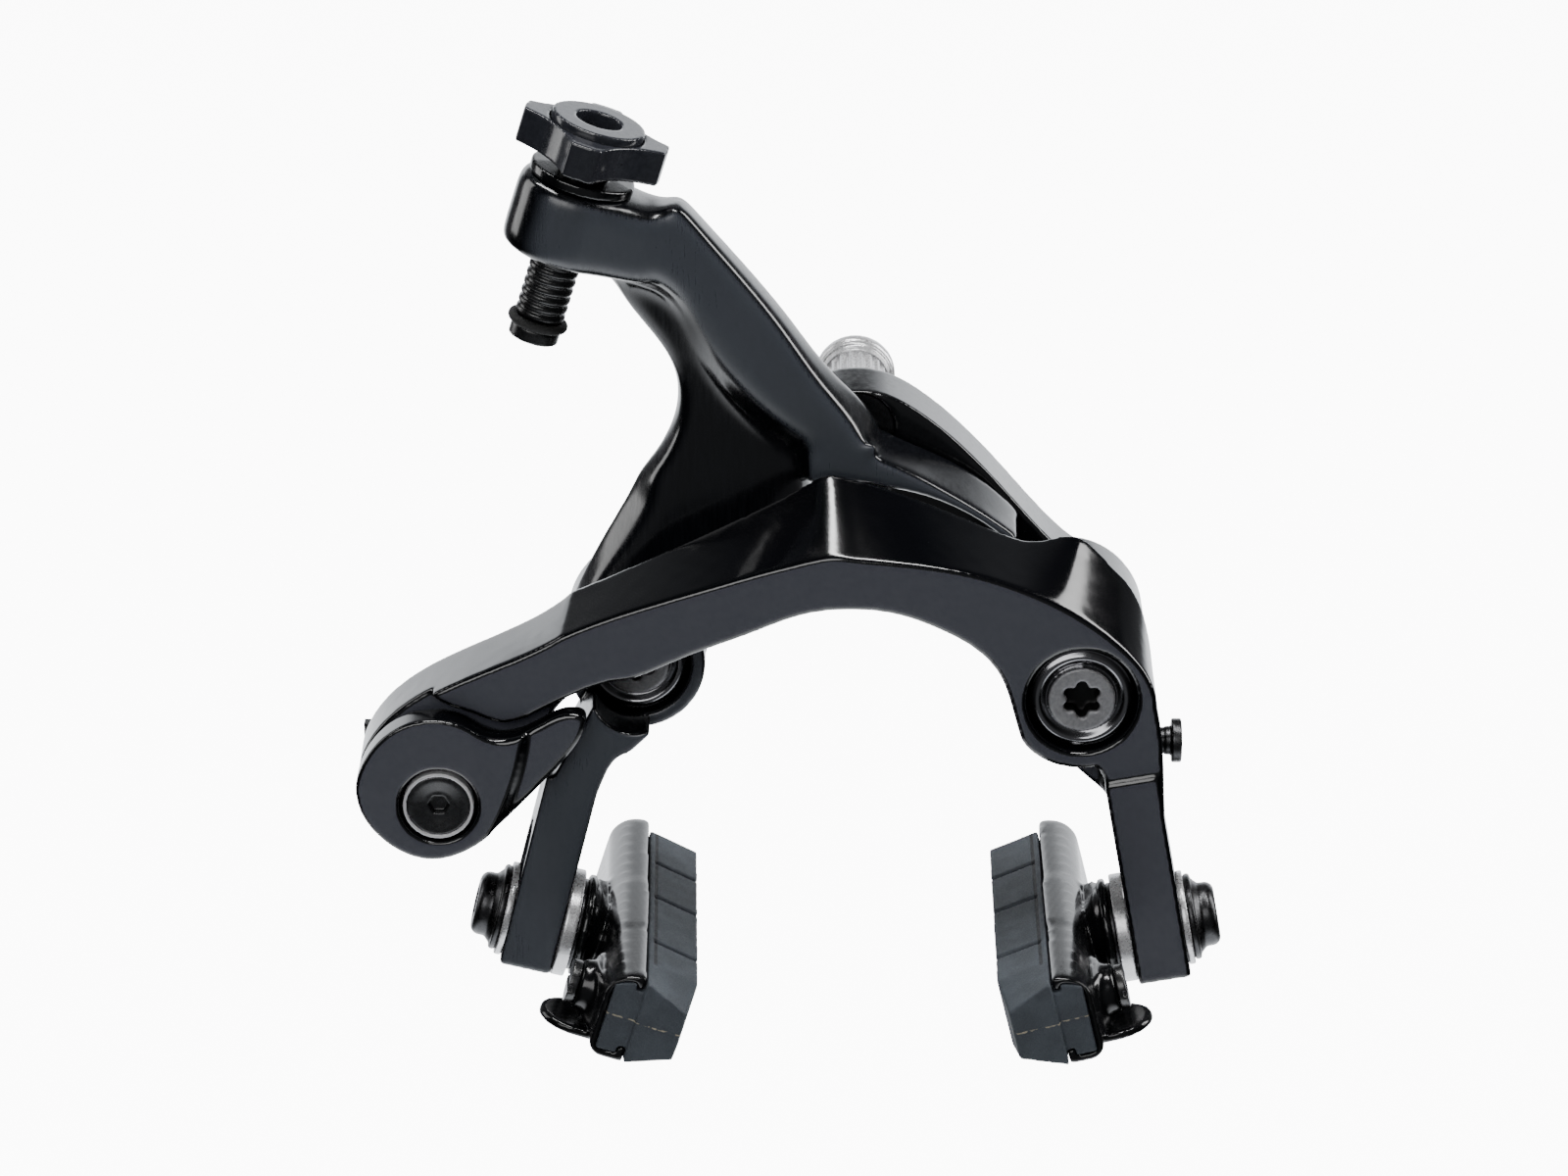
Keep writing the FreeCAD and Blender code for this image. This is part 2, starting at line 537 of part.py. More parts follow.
# ---------------------------------------------------------------- brake shoes


def place_shoe(shape, bolt, lean, side, pitched):
    """Move a shape from shoe axes onto its leg; the shoes proper are also pitched front up."""
    if pitched:
        shape.rotate(V(0, 0, 0), V(1, 0, 0), -SHOE_PITCH)
    if side > 0:
        shape = shape.mirror(V(0, 0, 0), V(1, 0, 0))
    shape.rotate(V(0, 0, 0), V(0, 1, 0), lean)
    shape.translate(V(*bolt))
    return shape


def rolled(shape):
    """Roll a shape about the washer seat, which squares the pad to the rim."""
    shape.rotate(V(SEAT, 0, 0), V(0, 1, 0), SHOE_ROLL)
    return shape


def block(x0, x1, y0, y1, half):
    return Part.makeBox(x1 - x0, y1 - y0, 2 * half, V(x0, y0, -half))


def prism_z(points, half):
    """A closed polygon of (x, y) points, extruded half its height up and down."""
    corners = [V(x, y, -half) for x, y in points]
    return Part.Face(Part.makePolygon(corners + [corners[0]])).extrude(V(0, 0, 2 * half))


def shoe_channel():
    """The long C-shaped channel of the holder, with rounded outer edges and a rounded nose."""
    body = block(WALL_X, MOUTH_X, -SHOE_FRONT, SHOE_REAR, SHOE_HALF)
    outer = []
    for edge in body.Edges:
        middle = edge.CenterOfMass
        along = abs(edge.tangentAt(edge.FirstParameter).y) > 0.5
        nose = middle.y > SHOE_REAR - 0.1 and not along
        if (along and middle.x < WALL_X + 0.1) or (nose and middle.x < MOUTH_X - 0.1):
            outer.append(edge)
    body = body.makeFillet(1.7, outer)
    rib = prism_z([(SEAT + 0.3, -2.0), (SEAT + 0.3, 4.4), (WALL_X + 0.5, 10.4), (WALL_X + 0.5, -2.0)], 3.9)
    pillar = cylinder_x(PAD_SCREW_Y, 0, 2.9, SEAT + 0.1, WALL_X + 0.6)
    cheek = prism_z([(WALL_X - 1.2, PAD_SCREW_Y - 1.8), (WALL_X - 1.2, PAD_SCREW_Y + 2.4), (WALL_X + 0.4, -9.0),
                     (WALL_X + 0.4, -SHOE_FRONT + 1.6)], 3.4)
    body = body.fuse([rib, pillar, cheek])
    inside = block(WALL_X + WALL, MOUTH_X - 0.9, -SHOE_FRONT - 1, SHOE_REAR - NOSE, SHOE_HALF - WALL)
    mouth = block(MOUTH_X - 1.0, MOUTH_X + 1, -SHOE_FRONT - 1, SHOE_REAR - NOSE, SHOE_HALF - 1.7)
    return body.cut(inside).cut(mouth)


def shoe_holder():
    """Holder: channel, round washer seat on a neck, guide tab and the stud that goes through the leg."""
    lobe = Part.makeCylinder(4.2, 1.0, V(6.3, -15.5, -SHOE_HALF), V(0, 0, 1))
    foot = Part.makeBox(3.0, 8.4, 1.0, V(6.3, -19.7, -SHOE_HALF))
    inside = block(WALL_X + WALL, MOUTH_X + 1, -SHOE_FRONT - 1, SHOE_REAR - NOSE, SHOE_HALF - WALL)
    body = rolled(shoe_channel().fuse([lobe.cut(inside), foot.cut(inside)]))
    flange = cylinder_x(0, 0, 5.8, SEAT, SEAT + 0.9)
    neck = Part.makeCone(5.2, 3.9, 2.2, V(SEAT + 0.8, 0, 0), V(1, 0, 0))
    stud = cylinder_x(0, 0, BOLT_R - RUN, -LEG_HALF - 2.8, SEAT + 2.0)
    body = body.fuse([flange, neck])
    body = body.cut(cylinder_x(0, 0, BALL_R + 0.1, SEAT - 1, SEAT + 1.2))
    body = body.fuse(stud)
    screw_way = rolled(cylinder_x(PAD_SCREW_Y, 0, 1.2, SEAT - 2, WALL_X + 2))
    return body.cut(screw_way).removeSplitter()


def shoe_pad():
    """Rubber insert: keyed into the channel, wedge-shaped outside it, with three grooves."""
    y0 = -SHOE_FRONT + 0.1
    y1 = SHOE_REAR - NOSE - 0.1
    key = block(WALL_X + WALL + 0.02, MOUTH_X - 0.92, y0, y1, SHOE_HALF - WALL - 0.03)
    neck = block(MOUTH_X - 0.95, MOUTH_X + 0.2, y0, y1, SHOE_HALF - 1.75)

    def section(y, rim_x, top, bottom):
        corners = [V(MOUTH_X + 0.06, y, SHOE_HALF - 0.25), V(rim_x, y, top), V(rim_x, y, bottom),
                   V(MOUTH_X + 0.06, y, 0.25 - SHOE_HALF)]
        return Part.makePolygon(corners + [corners[0]])

    tip_end = section(-SHOE_FRONT - 0.6, RIM_X - 0.9, 2.6, -3.0)
    tip_start = section(-17.5, RIM_X, 3.9, -3.9)
    main = Part.makeLoft([tip_start, section(y1, RIM_X, 3.9, -3.9)], True, True)
    tip = Part.makeLoft([tip_end, tip_start], True, True)
    body = main.fuse(tip)
    core = Part.makeBox(4.7, 60, 6.4, V(MOUTH_X, -30, -3.2))
    for y in (-11.2, 2.3, 12.7):
        groove = Part.makeBox(8.0, 0.75, 14, V(MOUTH_X + 0.7, y, -7)).cut(core)
        body = body.cut(groove)
    for side in (-1, 1):
        line = Part.makeBox(0.35, 40, 1.0, V(MOUTH_X + 0.7, -18, side * (SHOE_HALF - 0.05) - 0.5))
        body = body.cut(line)
    body = body.fuse([key, neck]).removeSplitter()
    return rolled(body.cut(cylinder_x(PAD_SCREW_Y, 0, 1.2, SEAT, WALL_X + 3.2)))


def pad_screw():
    """Small screw that keeps the rubber insert from sliding out of the holder."""
    shank = cylinder_x(PAD_SCREW_Y, 0, 1.2, SEAT - 0.2, WALL_X + 3.0)
    head = cylinder_x(PAD_SCREW_Y, 0, 2.5, SEAT - 0.9, SEAT + 0.1)
    slit = Part.makeBox(0.5, 6, 0.6, V(SEAT - 0.91, PAD_SCREW_Y - 3, -0.3))
    return rolled(head.cut(slit).fuse(shank))


def spacer_washer():
    """Bright thick washer against the inner side of the leg."""
    return ring_x(0, 0, 6.1, BOLT_R + RUN, LEG_HALF, LEG_HALF + SPACER)


def cup_washer():
    """Dark washer between the spacer and the holder."""
    return ring_x(0, 0, 5.2, BOLT_R + RUN, LEG_HALF + SPACER, SEAT)


def ball_washer():
    """Dark ball washer sunk in the holder, which lets the shoe settle square to the rim."""
    ring = ring_x(0, 0, BALL_R, BOLT_R + RUN, SEAT, SEAT + 1.1)
    return ring.common(Part.makeSphere(5.0, V(SEAT - 2.0, 0, 0)))


def outer_washer():
    """Bright thin washer under the pad nut."""
    return ring_x(0, 0, 5.3, BOLT_R + RUN, -LEG_HALF - OUTER_WASHER, -LEG_HALF)


def pad_nut():
    """Flanged domed nut with a hexagon recess."""
    x1 = -LEG_HALF - OUTER_WASHER
    flange = cylinder_x(0, 0, 4.85, x1 - 0.8, x1)
    flange = flange.makeFillet(0.3, [e for e in flange.Edges if e.Length > 20])
    dome = cylinder_x(0, 0, 3.6, x1 - 3.2, x1 - 0.4)
    rim = [e for e in dome.Edges if e.Length > 20 and e.CenterOfMass.x < x1 - 3.0]
    dome = dome.makeFillet(1.0, rim)
    collar = Part.makeCone(3.6, 4.3, 0.7, V(x1 - 1.5, 0, 0), V(1, 0, 0))
    body = flange.fuse([dome, collar]).cut(cylinder_x(0, 0, BOLT_R, x1 - 2.2, x1 + 1))
    recess = []
    for k in range(6):
        a = math.radians(60 * k)
        recess.append(V(x1 - 4.0, 2.0 * math.cos(a), 2.0 * math.sin(a)))
    socket = Part.Face(Part.makePolygon(recess + [recess[0]])).extrude(V(3.0, 0, 0))
    return body.cut(socket).removeSplitter()


def write(name, shape):
    shape.translate(V(0, -FACE_Y, -PIVOT_DROP))
    shape.exportStep("parts/" + name + ".step")


def main():
    os.makedirs("parts", exist_ok=True)
    write("bridge_plate", bridge_plate())
    write("centre_bolt", centre_bolt())
    write("toothed_washer", toothed_washer())
    write("fork_washer", fork_washer())
    write("pivot_bolt_right", pivot_bolt(PIVOT_X, -35.8, 2.2))
    write("pivot_bolt_left", pivot_bolt(-PIVOT_X, -25.5, 2.2))
    write("spring_seat", spring_seat())
    write("spring_right", spring_half(1))
    write("spring_left", spring_half(-1))
    write("front_arm", front_arm())
    write("pivot_bush_right", pivot_bush(PIVOT_X, -34.55, FRONT_Y1))
    write("pivot_bush_left", pivot_bush(-PIVOT_X, -24.25, REAR_ARM_Y1))
    write("cam_roller", cam_roller())
    write("roller_clip", roller_clip())
    write("tension_screw", tension_screw())
    write("release_lever", release_lever())
    write("release_ring", release_ring())
    write("release_screw", release_screw())
    write("release_shaft", release_shaft())
    write("anchor_block", anchor_block())
    write("anchor_plate", anchor_plate())
    write("anchor_bolt", anchor_bolt())
    write("stub_clip", stub_clip())
    write("rear_arm", rear_arm())
    write("adjuster_star", adjuster_star())
    write("adjuster_rod", adjuster_rod())
    write("adjuster_seat", adjuster_seat())
    write("adjuster_collar", adjuster_collar())
    write("stop_ring", stop_ring())
    shoes = (("left", LEFT_BOLT, LEFT_LEAN, -1), ("right", RIGHT_BOLT, RIGHT_LEAN, 1))
    turning = (("shoe_holder", shoe_holder), ("brake_pad", shoe_pad), ("pad_screw", pad_screw))
    sliding = (("spacer_washer", spacer_washer), ("cup_washer", cup_washer), ("ball_washer", ball_washer),
               ("outer_washer", outer_washer), ("pad_nut", pad_nut))
    for label, bolt, lean, side in shoes:
        for name, make in turning:
            write(name + "_" + label, place_shoe(make(), bolt, lean, side, True))
        for name, make in sliding:
            write(name + "_" + label, place_shoe(make(), bolt, lean, side, False))


main()
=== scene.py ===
"""Looks of a rim brake caliper: rounded forms, procedural materials, studio light and camera.

Everything is in metres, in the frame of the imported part: X to the right, Y towards the fork, Z up,
origin on the centre bolt at the mounting face.
"""

import json
import math

import bpy
import numpy as np
from mathutils import Matrix, Vector

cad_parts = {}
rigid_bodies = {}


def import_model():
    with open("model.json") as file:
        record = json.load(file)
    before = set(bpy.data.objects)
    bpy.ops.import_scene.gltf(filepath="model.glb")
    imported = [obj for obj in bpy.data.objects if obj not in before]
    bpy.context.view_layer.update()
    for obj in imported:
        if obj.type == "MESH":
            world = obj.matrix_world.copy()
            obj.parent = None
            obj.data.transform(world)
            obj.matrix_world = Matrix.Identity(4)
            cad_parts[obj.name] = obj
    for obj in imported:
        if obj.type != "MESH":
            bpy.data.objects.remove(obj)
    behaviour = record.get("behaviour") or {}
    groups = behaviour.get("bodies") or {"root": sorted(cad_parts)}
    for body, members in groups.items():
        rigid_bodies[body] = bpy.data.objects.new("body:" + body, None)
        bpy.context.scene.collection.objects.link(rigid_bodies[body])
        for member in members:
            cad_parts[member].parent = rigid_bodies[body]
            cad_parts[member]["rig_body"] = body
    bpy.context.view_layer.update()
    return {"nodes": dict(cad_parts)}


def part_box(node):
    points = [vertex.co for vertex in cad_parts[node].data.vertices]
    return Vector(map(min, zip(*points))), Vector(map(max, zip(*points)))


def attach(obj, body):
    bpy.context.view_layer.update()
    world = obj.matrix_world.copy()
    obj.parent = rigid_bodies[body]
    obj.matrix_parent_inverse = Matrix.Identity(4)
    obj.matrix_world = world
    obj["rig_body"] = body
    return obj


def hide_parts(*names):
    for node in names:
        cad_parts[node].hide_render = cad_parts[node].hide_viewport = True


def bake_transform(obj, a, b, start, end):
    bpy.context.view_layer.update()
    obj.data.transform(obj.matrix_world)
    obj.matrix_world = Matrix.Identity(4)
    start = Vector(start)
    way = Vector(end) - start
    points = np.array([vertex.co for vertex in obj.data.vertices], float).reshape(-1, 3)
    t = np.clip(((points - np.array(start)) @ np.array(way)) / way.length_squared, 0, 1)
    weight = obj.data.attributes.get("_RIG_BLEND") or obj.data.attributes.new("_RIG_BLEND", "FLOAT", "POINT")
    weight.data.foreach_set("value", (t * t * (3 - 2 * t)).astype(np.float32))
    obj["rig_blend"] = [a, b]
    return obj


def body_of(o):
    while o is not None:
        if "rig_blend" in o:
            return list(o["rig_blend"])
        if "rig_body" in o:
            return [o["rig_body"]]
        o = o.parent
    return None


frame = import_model()
nodes = frame["nodes"]

MM = 0.001

# Camera: a long lens in mm, not tilted sideways, looking 22.5 degrees down; near and far limits in metres.
LENS = 135
CAMERA_PITCH = math.radians(22.5)
CAMERA_DISTANCE = 0.6373
CAMERA_TARGET = Vector((-0.00808, -0.03745, -0.01106))
CLIP = (0.01, 20)


# ---------------------------------------------------------------- rounded forms

# Axis of the cable adjuster: a point in mm and its lean to the right.
ADJUSTER_POINT = np.array((-27.9, -23.5, 37.6))
ADJUSTER_LEAN = math.radians(17)
ADJUSTER_AXIS = np.array((math.sin(ADJUSTER_LEAN), 0, math.cos(ADJUSTER_LEAN)))

# Where the extra smoothing sets in, from none to full, in mm.
STRUT_Z = (-21, -15)
STRUT_X = (3, -2)
OFF_ADJUSTER = (3.4, 5.2)
LEVER_TAIL_X = (-42, -38)
PAD_BOLT_Y = -31.8
OFF_PAD_BOLT = (6.0, 8.0)
HOLDER_Z = (-57, -54)

# Share of the smoothing that the rear arm's cam leaf still takes.
CAM_LEAF_SHARE = 0.15


def ramp_between(value, none, full):
    """0 where the value is at none or before it, 1 from full on."""
    return np.clip((value - none) / (full - none), 0, 1)


def strut_region(points):
    """Strut, web and adjuster boss of the rear arm, clear of the adjuster bore; the cam leaf takes little."""
    away = points - ADJUSTER_POINT
    along = away @ ADJUSTER_AXIS
    off_axis = np.linalg.norm(away - along[:, None] * ADJUSTER_AXIS, axis=1)
    high = ramp_between(points[:, 2], *STRUT_Z)
    left = CAM_LEAF_SHARE + (1 - CAM_LEAF_SHARE) * ramp_between(points[:, 0], *STRUT_X)
    return high * left * ramp_between(off_axis, *OFF_ADJUSTER)


def lever_region(points):
    """Tail of the release lever."""
    return ramp_between(points[:, 0], *LEVER_TAIL_X)


def holder_region(points):
    """Upper part of a shoe holder, behind and in front of its washer seat."""
    off_bolt = np.abs(points[:, 1] - PAD_BOLT_Y)
    return ramp_between(off_bolt, *OFF_PAD_BOLT) * ramp_between(points[:, 2], *HOLDER_Z)


# Node: voxel size in mm, smoothing passes everywhere, region to smooth further, and passes there.
ROUNDED = {
    "front_arm": (0.28, 6, None, 0),
    "rear_arm": (0.28, 7, strut_region, 90),
    "release_lever": (0.22, 6, lever_region, 25),
    "bridge_plate": (0.28, 5, None, 0),
    "shoe_holder_left": (0.2, 12, holder_region, 30),
    "shoe_holder_right": (0.2, 12, holder_region, 30),
    "brake_pad_left": (0.19, 2, None, 0),
    "brake_pad_right": (0.19, 2, None, 0),
}

# Small hardware: voxel size in mm; a few passes break its edges.
TURNED = {
    "adjuster_star": 0.13, "adjuster_seat": 0.12, "adjuster_collar": 0.12, "adjuster_rod": 0.11,
    "stop_ring": 0.1, "pivot_bolt_left": 0.13, "pivot_bolt_right": 0.13, "tension_screw": 0.09,
    "release_ring": 0.09, "release_screw": 0.09, "cup_washer_left": 0.1, "cup_washer_right": 0.1,
    "ball_washer_left": 0.1, "ball_washer_right": 0.1, "pad_nut_left": 0.1, "pad_nut_right": 0.1,
    "pad_screw_left": 0.1, "pad_screw_right": 0.1, "spacer_washer_left": 0.11, "spacer_washer_right": 0.11,
    "outer_washer_left": 0.11, "outer_washer_right": 0.11, "toothed_washer": 0.1, "fork_washer": 0.12,
}
EDGE_PASSES = 7

# Right half of the wire spring: where it is held by the bridge and where it presses on its arm, in mm.
SPRING_HELD = (7, -8.2, -6.1)
SPRING_PRESSES = (24.4, -8.2, -35.8)

# Shoe axes: pad bolt in mm, lean in degrees, side. The pitch and roll are also in degrees.
SHOES = {"left": ((-35.9, -31.1, -53.3), 14.0, -1), "right": ((33.55, -32.5, -53.55), -10.1, 1)}
SHOE_PITCH = 4.0
SHOE_ROLL = 3.5

# Places across a shoe, from its pad bolt towards the rim, in mm.
SEAT_X = 4.95
RIB_X = 6.15
WALL_X = 7.6
MOUTH_X = 11.7

# Share of the shoe's upper half that is left at the holder's back.
BACK_HEIGHT = 0.66


def shoe_matrix(side_name):
    """From shoe axes to the part's frame, both in mm."""
    bolt, lean, side = SHOES[side_name]
    flip = Matrix.Diagonal((-side, 1, 1, 1))
    roll = Matrix.Rotation(math.radians(SHOE_ROLL), 4, "Y")
    about_seat = Matrix.Translation((SEAT_X, 0, 0)) @ roll @ Matrix.Translation((-SEAT_X, 0, 0))
    pitch = Matrix.Rotation(math.radians(-SHOE_PITCH), 4, "X")
    return Matrix.Translation(bolt) @ Matrix.Rotation(math.radians(lean), 4, "Y") @ flip @ pitch @ about_seat


def barrel(points, name):
    """Arch the upper half of a shoe holder, and of the rubber held in it, from its back to its mouth."""
    matrix = shoe_matrix(name.rsplit("_", 1)[1])
    to_shoe = np.array(matrix.inverted())
    to_part = np.array(matrix)
    local = points @ to_shoe[:3, :3].T + to_shoe[:3, 3]
    across = local[:, 0]
    reach = np.clip((MOUTH_X - across) / (MOUTH_X - WALL_X), 0, 1)
    arch = np.sqrt(1 - (1 - BACK_HEIGHT ** 2) * reach ** 2)
    fade = ramp_between(across, RIB_X, WALL_X)
    height = 1 - fade * (1 - arch)
    local[:, 2] = np.where(local[:, 2] > 0, local[:, 2] * height, local[:, 2])
    return local @ to_part[:3, :3].T + to_part[:3, 3]


def relax(points, edges, passes, weight):
    """Move every point part of the way to the mean of its neighbours, again and again."""
    count = np.bincount(edges.ravel(), minlength=len(points))[:, None]
    for _ in range(passes):
        total = np.zeros_like(points)
        for axis in range(3):
            total[:, axis] = np.bincount(edges[:, 0], points[edges[:, 1], axis], len(points))
            total[:, axis] += np.bincount(edges[:, 1], points[edges[:, 0], axis], len(points))
        points = points + weight * 0.5 * (total / count - points)
    return points


def rounded_form(name, voxel_mm, passes, region, region_passes):
    """A copy of a node with an even skin and small radii on its edges; it stands for the node."""
    node = nodes[name]
    grid = node.modifiers.new("even_skin", "REMESH")
    grid.mode = "VOXEL"
    grid.voxel_size = voxel_mm * MM
    mesh = bpy.data.meshes.new_from_object(node.evaluated_get(bpy.context.evaluated_depsgraph_get()))
    node.modifiers.remove(grid)
    points = np.empty(len(mesh.vertices) * 3)
    mesh.vertices.foreach_get("co", points)
    points = points.reshape(-1, 3) / MM
    edges = np.empty(len(mesh.edges) * 2, dtype=np.int32)
    mesh.edges.foreach_get("vertices", edges)
    edges = edges.reshape(-1, 2)
    if name.startswith(("shoe_holder", "brake_pad")):
        points = barrel(points, name)
    if region is not None:
        points = relax(points, edges, region_passes, region(points)[:, None])
    points = relax(points, edges, passes, 1.0)
    mesh.vertices.foreach_set("co", (points * MM).ravel())
    mesh.update()
    mesh.shade_smooth()
    piece = bpy.data.objects.new(name + "_form", mesh)
    bpy.context.scene.collection.objects.link(piece)
    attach(piece, body_of(node)[0])
    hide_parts(name)
    return piece


def on_side(point, side):
    """A point of the right half in mm, as metres on the right (side 1) or the left (side -1)."""
    across, deep, high = point
    return (side * across * MM, deep * MM, high * MM)


def bending_spring(name, arm, side):
    """The spring half as a piece whose middle stays with the bridge and whose end goes with its arm."""
    piece = bpy.data.objects.new(name + "_form", nodes[name].data.copy())
    bpy.context.scene.collection.objects.link(piece)
    middle = on_side(SPRING_HELD, side)
    tip = on_side(SPRING_PRESSES, side)
    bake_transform(piece, "bridge", arm, start=middle, end=tip)
    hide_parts(name)
    return piece


def shape_nodes():
    """Give the visible nodes their rounded forms and return what to show for each name."""
    shown = dict(nodes)
    for name, plan in ROUNDED.items():
        shown[name] = rounded_form(name, *plan)
    for name, voxel in TURNED.items():
        shown[name] = rounded_form(name, voxel, EDGE_PASSES, None, 0)
    shown["spring_right"] = bending_spring("spring_right", "front_arm", 1)
    shown["spring_left"] = bending_spring("spring_left", "rear_arm", -1)
    return shown


# ---------------------------------------------------------------- node helpers

# Colour sockets of the Mix node.
MIX_INPUTS = (6, 7)
MIX_OUTPUT = 2


class Nodes:
    """Short ways to add shader nodes to a tree."""

    def __init__(self, tree):
        self.tree = tree

    def link(self, source, target):
        self.tree.links.new(source, target)

    def ramp(self, source, low, high, out_low=0.0, out_high=1.0):
        node = self.tree.nodes.new("ShaderNodeMapRange")
        node.interpolation_type = "SMOOTHSTEP"
        for key, value in (("From Min", low), ("From Max", high), ("To Min", out_low), ("To Max", out_high)):
            node.inputs[key].default_value = value
        self.link(source, node.inputs["Value"])
        return node.outputs["Result"]

    def math(self, operation, a, b=None):
        node = self.tree.nodes.new("ShaderNodeMath")
        node.operation = operation
        for socket, value in zip(node.inputs, (a, b)):
            if value is None:
                continue
            if isinstance(value, (int, float)):
                socket.default_value = value
            else:
                self.link(value, socket)
        return node.outputs["Value"]

    def split(self, source):
        node = self.tree.nodes.new("ShaderNodeSeparateXYZ")
        self.link(source, node.inputs[0])
        return node.outputs


class Recipe(Nodes):
    """A material under construction: its node tree, its Principled shader and more ways to add nodes."""

    def __init__(self, name):
        self.material = bpy.data.materials.new(name)
        self.material.use_nodes = True
        super().__init__(self.material.node_tree)
        self.shader = self.tree.nodes["Principled BSDF"]
        coord = self.tree.nodes.new("ShaderNodeTexCoord")
        self.place = coord.outputs["Object"]
        self.normal = coord.outputs["Normal"]

    def set(self, **values):
        for key, value in values.items():
            self.shader.inputs[key.replace("_", " ")].default_value = value

    def feed(self, source, socket_name):
        self.link(source, self.shader.inputs[socket_name])

    def noise(self, scale_per_mm, detail=3.0, rough=0.5, stretch=(1, 1, 1)):
        spread = self.tree.nodes.new("ShaderNodeMapping")
        spread.inputs["Scale"].default_value = stretch
        self.link(self.place, spread.inputs["Vector"])
        tex = self.tree.nodes.new("ShaderNodeTexNoise")
        tex.inputs["Scale"].default_value = scale_per_mm / MM
        tex.inputs["Detail"].default_value = detail
        tex.inputs["Roughness"].default_value = rough
        self.link(spread.outputs["Vector"], tex.inputs["Vector"])
        return tex.outputs["Fac"]

    def mix(self, factor, colour_a, colour_b):
        node = self.tree.nodes.new("ShaderNodeMix")
        node.data_type = "RGBA"
        self.link(factor, node.inputs["Factor"])
        for index, value in zip(MIX_INPUTS, (colour_a, colour_b)):
            if isinstance(value, tuple):
                node.inputs[index].default_value = (*value, 1)
            else:
                self.link(value, node.inputs[index])
        return node.outputs[MIX_OUTPUT]

    def axis_distance(self, point, axis):
        """Distance in metres from the line through a point along the named axis."""
        away = self.tree.nodes.new("ShaderNodeVectorMath")
        away.operation = "SUBTRACT"
        self.link(self.place, away.inputs[0])
        away.inputs[1].default_value = point
        flat = self.tree.nodes.new("ShaderNodeVectorMath")
        flat.operation = "MULTIPLY"
        self.link(away.outputs[0], flat.inputs[0])
        flat.inputs[1].default_value = [0.0 if name == axis else 1.0 for name in "xyz"]
        length = self.tree.nodes.new("ShaderNodeVectorMath")
        length.operation = "LENGTH"
        self.link(flat.outputs[0], length.inputs[0])
        return length.outputs["Value"]

    def plane(self, row):
        """Signed distance in metres from the plane of one matrix row (a, b, c, offset in mm)."""
        dot = self.tree.nodes.new("ShaderNodeVectorMath")
        dot.operation = "DOT_PRODUCT"
        self.link(self.place, dot.inputs[0])
        dot.inputs[1].default_value = row[:3]
        return self.math("ADD", dot.outputs["Value"], row[3] * MM)

    def bump(self, height, distance_mm, strength=1.0):
        node = self.tree.nodes.new("ShaderNodeBump")
        node.inputs["Distance"].default_value = distance_mm * MM
        node.inputs["Strength"].default_value = strength
        self.link(height, node.inputs["Height"])
        self.feed(node.outputs["Normal"], "Normal")


# ---------------------------------------------------------------- materials

# Ends of the ramp that turns the middle of a noise into a mottle.
MOTTLE = (0.3, 0.7)

# Depths, in mm, between which the painted sheen (a lighter colour) on the rear arm's raised front comes in.
STRUT_PAINTED_SHEEN = (-24.6, -26.6)

# Pivot bolt heads: edge of the matt inner head, and depths at which the recess is painted black as shade, in
# mm.
INNER_HEAD = (3.75, 3.6)
RECESS_SHADE = (0.2, 0.7)

PAD_COLOUR = (0.038, 0.046, 0.056)

# Dark line of painted shade beside the holder, in mm: across the shoe, fade of its edges, and where it starts
# along the shoe.
SEAM_SHADE_X = 12.57
SEAM_SHADE_FADE = (0.26, 0.14)
SEAM_SHADE_ALONG = (-18.0, -17.0)

# Pale mould line of a pad, in mm: how far it wanders, fade of its edges, and where it starts along the shoe.
FLASH_WANDER = 0.35
FLASH_FADE = (0.11, 0.05)
FLASH_ALONG = (-19.5, -21.0)
FLASH_COLOUR = (0.30, 0.27, 0.2)


def in_metres(pair):
    return [value * MM for value in pair]


def shaded(colour, share):
    return tuple(share * channel for channel in colour)


def two_tone_alloy(name):
    """Black anodised alloy: satin where it faces forward, polished everywhere else."""
    look = Recipe(name)
    facing = look.math("MULTIPLY", look.split(look.normal)["Y"], -1.0)
    satin = look.ramp(facing, 0.965, 0.992)
    grain = look.noise(2.2, 6)
    cloud = look.noise(0.12, 2)
    look.feed(look.mix(satin, (0.002, 0.0022, 0.003), (0.048, 0.051, 0.066)), "Base Color")
    front_rough = look.math("MULTIPLY", satin, look.ramp(grain, *MOTTLE, 0.36, 0.46))
    polished = look.math("SUBTRACT", 1.0, satin)
    other_rough = look.math("MULTIPLY", polished, look.ramp(cloud, *MOTTLE, 0.1, 0.15))
    look.feed(look.math("ADD", front_rough, other_rough), "Roughness")
    look.set(IOR=1.6)
    look.bump(look.math("MULTIPLY", grain, satin), 0.004, 0.25)
    return look.material


def alloy(name, colour, rough, ior=1.6):
    """Plain anodised alloy, or moulded polymer, with a fine, slightly uneven gloss."""
    look = Recipe(name)
    grain = look.noise(1.6, 5)
    look.feed(look.mix(look.ramp(grain, *MOTTLE), colour, shaded(colour, 1.2)), "Base Color")
    look.feed(look.ramp(grain, *MOTTLE, *rough), "Roughness")
    look.set(IOR=ior)
    look.bump(grain, 0.0015, 0.15)
    return look.material


